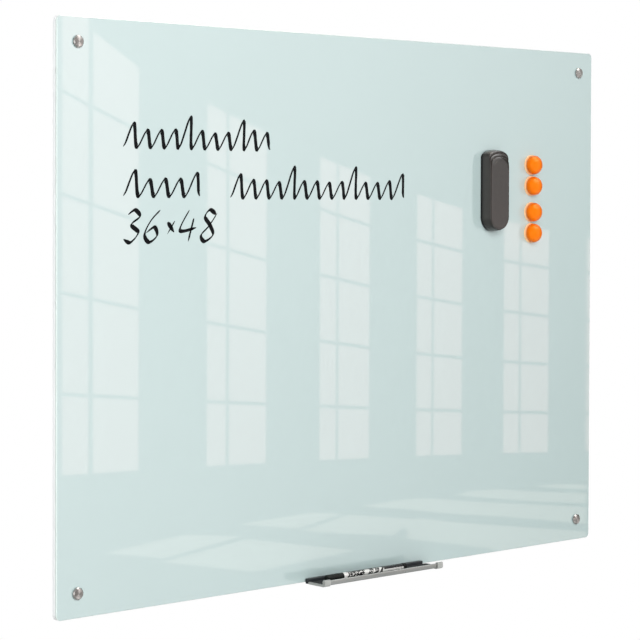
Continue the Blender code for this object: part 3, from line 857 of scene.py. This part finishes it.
def buildTray():
    t = tray
    gap = t["gap"]
    half = t["length"] / 2
    channelHalf = half - t["trimPlate"] - gap
    channelBack = gap + t["railDepth"] - t["railGroove"]
    innerLip = t["depth"] - t["lipThickness"]
    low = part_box("tray_rail")[0]
    here = (low[0] + half * millimetre, glassFront, low[2])
    raised = (here[0], here[1], here[2] + t["lift"] * millimetre)

    inside = [(innerLip, t["lip"] - t["lipThickness"] / 2), (innerLip, t["floor"]), (channelBack, t["floor"])]
    outline = lipPath(channelBack, 0) + eased(inside, t["floorRound"], t["floorRoundSteps"], closed=False)[1:]
    channel = sectionPiece("trayChannel", outline, -channelHalf, channelHalf, "tray_aluminium")
    settle(channel, "tray", "tray_channel", raised, facingRoom)

    # The rail is rounded at its ends and eased round its top edge.
    high = t["railHeight"]
    drop, shoulder = t["railShoulder"]
    rings = []
    for up, inset in (
        (0, t["railFoot"]), (t["railFoot"], 0),
        (high - t["railRound"], 0), (high - drop, shoulder), (high, t["railRound"]),
    ):
        plan = roundedOutline(
            -half + inset, half - t["railShort"] - inset, gap + inset, gap + t["railDepth"] - inset,
            t["railCorner"] - inset, t["railCornerSteps"],
        )
        rings.append([(x, up, out) for x, out in plan])
    rail = loftedPiece("trayRail", rings, "rail_abs")

    # A groove in its front holds the channel, and a seat in its back holds the magnet strip.
    seatLow = (high - t["stripHeight"]) / 2 - gap
    for name, left, right, near, far, low, top in (
        (
            "railGroove", -half - t["overcut"], half + t["overcut"], channelBack - gap, t["depth"],
            t["lift"] - gap, t["lift"] + t["floor"] + gap,
        ),
        (
            "stripSeat", t["stripMargin"] - half - gap, half - t["railShort"] - t["stripMargin"] + gap,
            -t["overcut"], gap + t["stripThickness"] + gap, seatLow, seatLow + t["stripHeight"] + 2 * gap,
        ),
    ):
        cut = [(near, low), (far, low), (far, top), (near, top)]
        combine(rail, sectionPiece(name, cut, left, right, "rail_abs"), "DIFFERENCE")
    settle(rail, "tray", "tray_rail", here, facingRoom)

    matStart = 2 * gap + t["railDepth"]
    matEnd = innerLip - gap
    matLow = t["floor"] + gap
    valley = t["matTop"] - t["ribDepth"]
    outline = [(matStart, matLow), (matEnd, matLow), (matEnd, valley)]
    ribs = round((matEnd - matStart) / t["ribPitch"])
    for rib in range(ribs):
        for share, height in t["ribShape"]:
            outline.append((matEnd - (matEnd - matStart) * (rib + share) / ribs, valley + t["ribDepth"] * height))
    outline.append((matStart, valley))
    mat = sectionPiece("trayMat", outline, gap - channelHalf, channelHalf - gap, "mat_rubber")
    settle(mat, "tray", "tray_mat", raised, facingRoom)

    # Each end trim is a sleeve round the lip and floor, closed by a plate with a low sill.
    outer = gap + t["trimWall"]
    sill = t["matTop"] - gap
    hook = t["lip"] - t["trimHook"]
    sleeve = lipPath(matStart, outer) + [(innerLip - outer, hook), (innerLip - gap, hook)]
    sleeve += lipPath(matStart, gap)[::-1]
    plate = lipPath(matStart, outer) + [(innerLip - outer, sill), (matStart, sill)]
    for side, name in ((-1, "Left"), (1, "Right")):
        trim = sectionPiece("trayEnd" + name, sleeve, side * (half - t["trimLength"]), side * half, "trim_abs")
        cover = sectionPiece("endPlate", plate, side * (channelHalf + gap), side * half, "trim_abs")
        combine(trim, cover, "UNION")
        settle(trim, "tray", "tray_end_" + name.lower(), raised, facingRoom)


buildTray()


print("stage: marker")

# Marker sizes in millimetres, from the closed end of its cap
marker = {
    "length": 182.0,
    "capRadius": 5.6,
    "capLength": 36.0,
    "capWall": 0.9,
    "capFloor": 1.8,
    "noseFlat": 3.4,
    "noseLength": 3.0,
    "noseRound": 1.6,
    "noseSteps": 5,
    "gripRows": 27,
    "rimGroove": (4.6, 4.2, 3.6, 3.2),    # back from the cap's rim
    "edge": 0.25,
    "flutes": 26,
    "fluteSteps": 8,
    "fluteDepth": 0.22,
    "fluteFrom": 4.0,
    "fluteTo": 29.0,
    "fluteFade": 2.0,
    "barrelRadius": 4.7,
    "barrelWall": 0.8,
    "barrelSoft": 0.2,
    "collarLength": 8.0,
    "collarLap": 14.0,
    "collarNose": 7.0,
    "collarShoulder": 0.6,
    "collarTip": 1.0,
    "spigotLap": 8.0,
    "nibRadius": 1.6,
    "nibProud": 6.0,
    "nibDome": 1.9,
    "nibSteps": 8,
    "plugLength": 6.5,
    "plugRound": 1.0,
    "soft": 0.3,
    "gap": 0.3,
    "steps": 72,    # points round the barrel, the collar and the plug, then round the nib
    "nibAround": 40,
}


# Grip flutes run along the cap, and fade out before its ends.
def fluteShape(angle, radius, height):
    m = marker
    if radius < (m["capRadius"] - m["edge"] / 2) * millimetre:
        return radius
    along = height / millimetre
    fade = clamp(min(along - m["fluteFrom"], m["fluteTo"] - along) / m["fluteFade"])
    return radius - m["fluteDepth"] * millimetre * fade * (0.5 - 0.5 * math.cos(angle * m["flutes"])) ** 2


def buildMarker():
    m = marker
    gap = m["gap"]
    soft = m["soft"]
    radius = m["capRadius"]
    thin = radius - m["edge"]
    bore = radius - m["capWall"]
    end = m["capLength"]

    first, deep, shallow, last = [end - back for back in m["rimGroove"]]
    nose = [(m["noseFlat"], 0), (thin, m["edge"]), (radius, m["noseLength"])]
    nose = eased(nose, m["noseRound"], m["noseSteps"], closed=False)
    grip = [(radius, m["fluteFrom"] + row) for row in range(m["gripRows"])]
    cap = [(0, 0)] + nose + grip + [
        (radius, first), (thin, deep), (thin, shallow), (radius, last), (radius, end - m["edge"]), (thin, end),
        (bore, end), (bore, m["capFloor"]), (0, m["capFloor"]),
    ]

    # The collar: a cone for the nib, a neck inside the cap, a ring outside it, and a spigot.
    lap = bore - gap
    lapStart = end - m["collarLap"]
    tip = lapStart - m["collarNose"]
    ringStart = end + gap
    ringEnd = ringStart + m["collarLength"]
    barrelBore = m["barrelRadius"] - m["barrelWall"]
    spigot = barrelBore - gap
    spigotEnd = ringEnd + m["spigotLap"]
    nibBore = m["nibRadius"] + gap
    shoulder = m["collarShoulder"]
    collar = eased([
        (nibBore, tip), (nibBore + m["collarTip"], tip), (lap - shoulder, lapStart - 2 * shoulder),
        (lap, lapStart + shoulder), (lap, ringStart), (radius, ringStart), (radius, ringEnd), (spigot, ringEnd),
        (spigot, spigotEnd),
        (spigot - m["collarTip"], spigotEnd), (nibBore, ringEnd),
    ], soft)

    plugStart = m["length"] - m["plugLength"]
    barrel = eased([
        (barrelBore, ringEnd + gap), (m["barrelRadius"], ringEnd + gap), (m["barrelRadius"], plugStart - gap),
        (barrelBore, plugStart - gap),
    ], m["barrelSoft"])

    nibStart = tip - m["nibProud"]
    nibEnd = spigotEnd + gap
    nib = [(0, nibStart)]
    for step in range(1, m["nibSteps"] + 1):
        angle = quarterTurn * step / m["nibSteps"]
        nib.append((m["nibRadius"] * math.sin(angle), nibStart + m["nibDome"] * (1 - math.cos(angle))))
    nib += [(m["nibRadius"], nibEnd), (0, nibEnd)]

    plug = eased([
        (0, plugStart - m["spigotLap"]), (spigot, plugStart - m["spigotLap"]), (spigot, plugStart), (radius, plugStart),
        (radius, m["length"] - m["plugRound"]), (radius - m["plugRound"], m["length"]), (0, m["length"]),
    ], soft, closed=False)

    low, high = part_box("marker_cap")
    here = (low[0], (low[1] + high[1]) / 2, (low[2] + high[2]) / 2)
    capAround = m["flutes"] * m["fluteSteps"]
    piece = turnedPiece("markerCap", cap, "marker_black", capAround, fluteShape)
    settle(piece, "marker_cover", "marker_cap", here, alongBoard)
    for name, node, profile, finish, slot, steps in (
        ("markerCollar", "marker_collar", collar, "marker_white", "marker_white", m["steps"]),
        ("markerBarrel", "marker_barrel", barrel, "barrel", "marker_white", m["steps"]),
        ("markerNib", "marker_nib", nib, "marker_fibre", "marker_fibre", m["nibAround"]),
        ("markerPlug", "marker_end_plug", plug, "marker_black", "marker_black", m["steps"]),
    ):
        settle(turnedPiece(name, profile, finish, steps), "marker", node, here, alongBoard)


buildMarker()


print("stage: strokes on the glass")

# Marker strokes in metres on the glass: rows of plain waves, and a row of figures.
strokes = {
    "film": (0.00003, 0.00010),    # out from the glass
    "nibWide": 0.0078,
    "nibThin": 0.0021,
    "nibSlant": math.radians(50),
    "nibSharpness": 1.5,
    # How wide a stroke starts and ends, as a share, and how many points it takes to its full width
    "touchDown": (0.35, 7),
    "liftOff": (0.15, 9),
    "pointStep": 0.0012,
    # Even waves of a pen: where each starts and ends, its foot, its height, how many crests
    # it has, and how often the crests swell and shrink
    "waves": (
        (-0.486, -0.188, 0.262, 0.048, 11, 2.5),
        (-0.486, -0.335, 0.186, 0.050, 5, 1.0),
        (-0.272, 0.117, 0.184, 0.050, 14, 3.0),
    ),
    "waveWeight": 1.15,
    "crestParts": 8,
    "crestLow": 0.52,    # the lowest crests, as a share of the highest
    "crestSpread": (0.9, 1.06),
    "lean": 0.22,
    "seed": 5,
}

# Plain figures, each as pen strokes in a box one unit wide and high
figures = {
    "3": (((0.15, 0.86), (0.5, 1.0), (0.82, 0.8), (0.42, 0.55), (0.86, 0.3), (0.5, 0.0), (0.08, 0.1)),),
    "6": (((0.8, 1.0), (0.34, 0.66), (0.1, 0.24), (0.42, 0.0), (0.82, 0.2), (0.6, 0.46), (0.16, 0.28)),),
    "4": (((0.42, 1.0), (0.06, 0.36), (0.95, 0.44)), ((0.74, 0.74), (0.6, 0.0))),
    "8": ((
        (0.8, 0.86), (0.42, 1.0), (0.2, 0.78), (0.56, 0.5), (0.78, 0.2), (0.36, 0.0),
        (0.12, 0.2), (0.5, 0.5), (0.86, 0.9),
    ),),
    "cross": (((0.2, 0.62), (0.8, 0.3)), ((0.74, 0.66), (0.3, 0.24))),
}
figureRow = {
    # Each figure, where its box starts and how wide it is
    "places": (
        ("3", -0.489, 0.034), ("6", -0.450, 0.034), ("cross", -0.410, 0.026),
        ("4", -0.380, 0.036), ("8", -0.338, 0.036),
    ),
    "base": 0.114,
    "tall": 0.050,
    "lean": 0.18,
}


# A smooth curve through the points, cut into short steps.
def smoothPath(points, spacing):
    path = []
    ends = [Vector(point) for point in (points[0], *points, points[-1])]
    for a, b, c, d in zip(ends, ends[1:], ends[2:], ends[3:]):
        steps = max(2, int((c - b).length / spacing))
        for step in range(steps):
            t = step / steps
            bend, twist = 2 * a - 5 * b + 4 * c - d, 3 * b - a - 3 * c + d
            path.append(0.5 * (2 * b + (c - a) * t + bend * t * t + twist * t ** 3))
    path.append(ends[-1])
    return path


# A slanted nib draws wide across its slant and thin along it, and lifts off at both ends.
def strokeOutline(path, weight):
    s = strokes
    left, right = [], []
    for index, here in enumerate(path):
        ahead = path[min(index + 1, len(path) - 1)] - path[max(index - 1, 0)]
        if ahead.length < 1e-9:
            continue
        ahead.normalize()
        angle = math.atan2(ahead.y, ahead.x)
        wide = s["nibThin"] + (s["nibWide"] - s["nibThin"]) * abs(math.sin(angle - s["nibSlant"])) ** s["nibSharpness"]
        (first, firstSteps), (last, lastSteps) = s["touchDown"], s["liftOff"]
        ends = min(1.0, first + index / firstSteps, last + (len(path) - 1 - index) / lastSteps)
        side = Vector((-ahead.y, ahead.x)) * wide * weight * ends / 2
        left.append(here + side)
        right.append(here - side)
    return left, right


def addStroke(shape, points, weight=1.0):
    path = smoothPath(points, strokes["pointStep"])
    left, right = strokeOutline(path, weight)
    layers = []
    for out in strokes["film"]:
        y = glassFront - out
        layers.append([[shape.verts.new((p.x, y, p.y)) for p in edge] for edge in (left, right)])
    (backLeft, backRight), (topLeft, topRight) = layers
    for index in range(len(left) - 1):
        after = index + 1
        shape.faces.new((topLeft[index], topLeft[after], topRight[after], topRight[index]))
        shape.faces.new((backLeft[index], backRight[index], backRight[after], backLeft[after]))
        shape.faces.new((topLeft[index], backLeft[index], backLeft[after], topLeft[after]))
        shape.faces.new((topRight[index], topRight[after], backRight[after], backRight[index]))
    for index in (0, -1):
        shape.faces.new((topLeft[index], topRight[index], backRight[index], backLeft[index]))


def buildStrokes():
    s = strokes
    dice = random.Random(s["seed"])
    for number, (start, end, base, tall, crests, swells) in enumerate(s["waves"], start=1):
        hand = [dice.uniform(*s["crestSpread"]) for crest in range(crests + 1)]
        parts = s["crestParts"] * crests
        points = []
        for part in range(parts + 1):
            share = part / parts
            swell = s["crestLow"] + (1 - s["crestLow"]) * max(0.0, math.cos(fullTurn * swells * share)) ** 3
            crest = 0.5 - 0.5 * math.cos(fullTurn * crests * share)
            up = tall * swell * hand[part // s["crestParts"]] * crest
            points.append((start + (end - start) * share + s["lean"] * up, base + up))
        shape = bmesh.new()
        addStroke(shape, points, s["waveWeight"])
        settle(finishMesh(f"markerWave_{number}", shape, finishes["ink"]), "board")

    row = figureRow
    shape = bmesh.new()
    for name, left, width in row["places"]:
        for figure in figures[name]:
            addStroke(shape, [
                (left + x * width + z * row["tall"] * row["lean"], row["base"] + z * row["tall"]) for x, z in figure
            ])
    settle(finishMesh("markerFigures", shape, finishes["ink"]), "board")


buildStrokes()


print("stage: CAD nodes that stay")

stayingNodes = {
    "glass_panel": "glass",
    "steel_sheet": "white_steel",
    "backing_board": "foam_board",
    "eraser_magnet_bar": "ferrite",
    "tray_magnet_strip": "strip_magnet",
    "marker_reservoir": "marker_fibre",
}
for node, finish in stayingNodes.items():
    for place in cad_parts[node].material_slots:
        place.material = finishes[finish]


print("stage: camera, floor and light")

view = {
    "place": (-2.4311, -2.6463, 0.1843),
    "turn": (-41.93, 88.693, 0.201),    # degrees: about Z, then X, then the camera's own axis
    "lens": 118.5,
    "sensor": 36,
    "shift": -0.1161,
}


def buildCamera():
    camera = bpy.data.cameras.new("camera")
    camera.lens = view["lens"]
    camera.sensor_width = view["sensor"]
    camera.shift_y = view["shift"]
    around, tilt, roll = [math.radians(angle) for angle in view["turn"]]
    eye = bpy.data.objects.new("camera", camera)
    bpy.context.collection.objects.link(eye)
    eye.matrix_world = (
        Matrix.Translation(view["place"]) @ Matrix.Rotation(around, 4, "Z")
        @ Matrix.Rotation(tilt, 4, "X") @ Matrix.Rotation(roll, 4, "Z")
    )
    bpy.context.scene.camera = eye


# What a straight look, a mirror or clear plastic sees, as one number: 1 for those rays.
def seenDirectly(tree):
    path = addNode(tree, "LightPath").outputs
    first = addNode(tree, "Math", {0: path["Is Camera Ray"], 1: path["Is Glossy Ray"]}, operation="MAXIMUM").outputs[0]
    return addNode(tree, "Math", {0: first, 1: path["Is Transmission Ray"]}, operation="MAXIMUM").outputs[0]


light = {
    "ambient": 0.19,
    # Each lamp: where it stands, how wide it is and its power in watts
    "lamps": {
        "key": ((-2.5, -6.5, 3.2), 4.5, 432.0),
        "fill": ((-1.0, -5.2, -0.4), 3.0, 92.0),
        "side": ((-4.6, 0.9, 0.5), 2.2, 84.0),
        "back": ((3.2, 4.2, 2.2), 2.6, 200.0),
    },
    "floorHeight": -1.35,
    "floorReach": 45.0,
    "floorColours": ("#B8B8B6", "#B4B4B2"),
    "floorGlow": 0.4,    # how much of the plain white a straight look sees near the board
    "floorFade": (1.2, 3.4),    # where the white starts to rise, and where it is full
}


def buildWorld():
    world = bpy.data.worlds.new("studio")
    world.use_nodes = True
    bpy.context.scene.world = world
    tree = world.node_tree
    strength = between(tree, seenDirectly(tree), light["ambient"], 1.0)
    fill(tree, tree.nodes["Background"], {"Color": "#FFFFFF", "Strength": strength})


def buildLamp(name, place, size, power):
    lamp = bpy.data.lights.new(name, "AREA")
    lamp.shape = "DISK"
    lamp.size = size
    lamp.energy = power
    holder = bpy.data.objects.new(name, lamp)
    bpy.context.collection.objects.link(holder)
    holder.location = place
    holder.rotation_euler = (-Vector(place)).to_track_quat("-Z", "Y").to_euler()    # it looks at the board
    holder.visible_glossy = False
    holder.visible_transmission = False


# The floor is lit near the board, so that it keeps the shadow, and fades to plain white.
def buildFloor():
    reach = light["floorReach"]
    shape = bmesh.new()
    shape.faces.new([
        shape.verts.new((x * reach, y * reach, light["floorHeight"])) for x, y in ((-1, -1), (1, -1), (1, 1), (-1, 1))
    ])
    material, tree, shader, place = newMaterial("painted studio floor", {"Roughness": 0.8, "Specular IOR Level": 0.0})
    fill(tree, shader, {"Base Color": between(tree, grainOf(tree, place, 400), *light["floorColours"])})
    away = addNode(tree, "VectorMath", {0: place}, operation="LENGTH").outputs["Value"]
    far = between(tree, away, light["floorGlow"], 1, light["floorFade"], "SMOOTHSTEP")
    white = addNode(tree, "Emission", {"Color": "#FFFFFF", "Strength": 1.0})
    share = addNode(tree, "Math", {0: far, 1: seenDirectly(tree)}, operation="MULTIPLY").outputs[0]
    mixed = addNode(tree, "MixShader", {0: share, 1: shader.outputs[0], 2: white.outputs[0]})
    fill(tree, tree.nodes["Material Output"], {"Surface": mixed.outputs[0]})
    finishMesh("floor", shape, material)


# Cards that only mirrors see. They stand in front of the board, and each point of a card is
# where the glass shows it, so a window lies where its reflection is seen.
mirrored = {
    "eye": (-2.4311, 2.5943, 0.1843),    # the camera's own reflection in the glass
    # The bright room: how far it stands off, how far it reaches past the middle of the glass,
    # its light at that middle, and how much the light rises in each metre across and up
    "roomAway": 2.30,
    "roomHalf": (0.635, 1.0),
    "roomMiddle": 1.45,
    "roomAcross": -1.00,
    "roomUp": 0.95,
    "riseHalf": (0.6, 0.45),    # past this the light stays even
    "paneAway": 2.00,
    "paneLight": 1.33,
    "paneColour": "#FFCFCC",
    "patchAway": 1.95,
    "patchLight": 0.85,
    "patchColour": "#FFEEDF",
    "barHalf": 0.0030,
    # Each window: left side, mullion, right side, and half of the mullion's width
    "windows": (
        (-0.5998, -0.5470, -0.4559, 0.0045),
        (-0.3195, -0.2771, -0.1955, 0.0035),
        (-0.0772, -0.0377, 0.0364, 0.0030),
        (0.1502, 0.1897, 0.2631, 0.0030),
        (0.3720, 0.4155, 0.4929, 0.0030),
        (0.6000, 0.6500, 0.7300, 0.0030),
    ),
    # The nearest window's two heads are higher: it is cut off by the top of the board
    "nearHeads": ((0.475, 0.470), (0.436, 0.385)),
    # Sunlight on the floor of the room, as the glass shows it
    "patches": (
        ((-0.520, -0.363), (-0.362, -0.351), (-0.250, -0.366), (-0.407, -0.384)),
        ((-0.407, -0.390), (-0.235, -0.372), (0.005, -0.417), (-0.217, -0.427)),
        ((-0.250, -0.346), (-0.092, -0.342), (-0.025, -0.351), (-0.125, -0.366)),
        ((-0.112, -0.371), (-0.012, -0.354), (0.148, -0.378), (0.095, -0.400), (-0.010, -0.387)),
        (
            (0.128, -0.382), (0.160, -0.377), (0.210, -0.386), (0.261, -0.395), (0.365, -0.411), (0.473, -0.427),
            (0.602, -0.446), (0.602, -0.456), (0.365, -0.456), (0.261, -0.434), (0.160, -0.416), (0.128, -0.410),
        ),
        (
            (0.021, -0.342), (0.111, -0.340), (0.160, -0.342), (0.210, -0.348), (0.312, -0.363), (0.472, -0.383),
            (0.602, -0.400), (0.602, -0.432), (0.514, -0.417), (0.365, -0.394), (0.261, -0.380), (0.210, -0.372),
            (0.111, -0.355), (0.052, -0.348),
        ),
        (
            (0.250, -0.344), (0.286, -0.341), (0.364, -0.344), (0.418, -0.352), (0.472, -0.359), (0.602, -0.373),
            (0.602, -0.392), (0.514, -0.382), (0.418, -0.370), (0.312, -0.354),
        ),
        ((0.456, -0.347), (0.513, -0.348), (0.602, -0.357), (0.602, -0.366), (0.533, -0.358)),
    ),
    # Heights of the window heads, bars and sills across all windows: each is a bent line,
    # given by its bend, its slope and its height at the middle of the glass
    "lines": (
        (0.1338, -0.2810, 0.2300), (0.1345, -0.2495, 0.1455), (0.0885, -0.1946, 0.0400),
        (0.0567, -0.1432, -0.0667), (0.0116, -0.0903, -0.1721), (-0.0161, -0.0476, -0.2592),
    ),
}


def cardPoint(across, up, away):
    eye = Vector(mirrored["eye"])
    onGlass = Vector((across, glassFront, up))
    reach = eye.y - glassFront
    return eye + (onGlass - eye) * (reach + away) / reach


# Turns a material into plain light. What lies behind a clear one shows through it as well.
def makeGlow(tree, shader, colour, strength, clear=False):
    tree.nodes.remove(shader)
    glow = addNode(tree, "Emission", {"Color": colour, "Strength": strength})
    if clear:
        through = addNode(tree, "BsdfTransparent")
        glow = addNode(tree, "AddShader", {0: through.outputs[0], 1: glow.outputs[0]})
    fill(tree, tree.nodes["Material Output"], {"Surface": glow.outputs[0]})


def glowMaterial(name, colour, strength, clear=False):
    material, tree, shader, place = newMaterial(name, {})
    makeGlow(tree, shader, colour, strength, clear)
    return material


def mirrorCard(name, polygons, material):
    shape = bmesh.new()
    for polygon in polygons:
        shape.faces.new([shape.verts.new(point) for point in polygon])
    card = finishMesh(name, shape, material)
    card.visible_camera = False
    card.visible_diffuse = False
    card.visible_transmission = False
    card.visible_shadow = False
    card.visible_volume_scatter = False


def onGlass(polygons, away):
    return [[cardPoint(across, up, away) for across, up in polygon] for polygon in polygons]


def lineHeight(line, across):
    bend, slope, middle = mirrored["lines"][line]
    return bend * across ** 2 + slope * across + middle


# Each window is two columns of panes, and bars part the panes of a column.
def windowPanes():
    panes = []
    lastRow = len(mirrored["lines"]) - 2
    for number, (left, mullion, right, half) in enumerate(mirrored["windows"]):
        for side, (start, end) in enumerate(((left, mullion - half), (mullion + half, right))):
            for row in range(lastRow + 1):
                top = 0 if row == 0 else -mirrored["barHalf"]
                low = 0 if row == lastRow else mirrored["barHalf"]
                heads = [lineHeight(row, at) + top for at in (start, end)]
                if number == 0 and row == 0:
                    heads = mirrored["nearHeads"][side]
                panes.append([
                    (start, heads[0]), (end, heads[1]),
                    (end, lineHeight(row + 1, end) + low), (start, lineHeight(row + 1, start) + low),
                ])
    return panes


def buildMirrored():
    m = mirrored
    room, tree, shader, place = newMaterial("bright room", {})
    parts = addNode(tree, "SeparateXYZ", {"Vector": place}).outputs
    wide, tall = m["riseHalf"]
    leftToRight = [cardPoint(x, 0, m["roomAway"]).x for x in (-wide, wide)]
    lowToHigh = [cardPoint(0, z, m["roomAway"]).z for z in (-tall, tall)]
    turn, rise = wide * m["roomAcross"], tall * m["roomUp"]
    across = between(tree, parts["X"], m["roomMiddle"] - turn, m["roomMiddle"] + turn, leftToRight)
    up = between(tree, parts["Z"], -rise, rise, lowToHigh)
    makeGlow(tree, shader, "#FFFFFF", addNode(tree, "Math", {0: across, 1: up}, operation="ADD").outputs[0])

    x, z = m["roomHalf"]
    windows = glowMaterial("window light", m["paneColour"], m["paneLight"], clear=True)
    sun = glowMaterial("sunlit floor", m["patchColour"], m["patchLight"], clear=True)
    mirrorCard("roomCard", onGlass([[(-x, -z), (x, -z), (x, z), (-x, z)]], m["roomAway"]), room)
    mirrorCard("windowCards", onGlass(windowPanes(), m["paneAway"]), windows)
    mirrorCard("sunPatches", onGlass(m["patches"], m["patchAway"]), sun)


# Softboxes and flags round the camera's side, for rims and round shapes. Only mirrors see
# them. Each one goes from a place to a place in plan and from a height to a height, and has
# its light and its colour. One without a height of its own lies flat.
studioCards = {
    "overhead": ((0.3, -1.6), (1.6, 1.4), 2.5, 2.5, 8.0, "#FFF6E8"),
    "upperFront": ((0.2, -2.33), (3.6, -2.33), 1.75, 4.2, 6.5, "#FFFFFF"),
    "low": ((-0.3, -2.2), (1.6, -0.7), -1.33, -1.33, 1.8, "#FFFFFF"),
    "leftRim": ((-2.6, -3.0), (-4.6, -1.2), -1.3, 1.2, 3.0, "#FFFFFF"),
    "leftFlag": ((-1.2, -2.34), (0.96, -2.34), -1.3, 1.7, 0.20, "#C88C84"),
    "rightFlag": ((3.32, -2.34), (4.7, -0.6), -1.3, 1.9, 0.14, "#8CB4A6"),
    "farRightFlag": ((4.7, -0.6), (4.9, 2.4), -1.3, 1.9, 0.14, "#8CB4A6"),
}


def buildStudioCards():
    for name, (start, end, low, high, strength, colour) in studioCards.items():
        if low == high:
            plan = (start, (end[0], start[1]), end, (start[0], end[1]))
            corners = [(*corner, low) for corner in plan]
        else:
            corners = [(*start, low), (*end, low), (*end, high), (*start, high)]
        mirrorCard(name, [corners], glowMaterial(name, colour, strength))


buildCamera()
buildWorld()
for name, (place, size, power) in light["lamps"].items():
    buildLamp(name, place, size, power)
buildFloor()
buildMirrored()
buildStudioCards()

bpy.context.scene.view_settings.view_transform = "Standard"
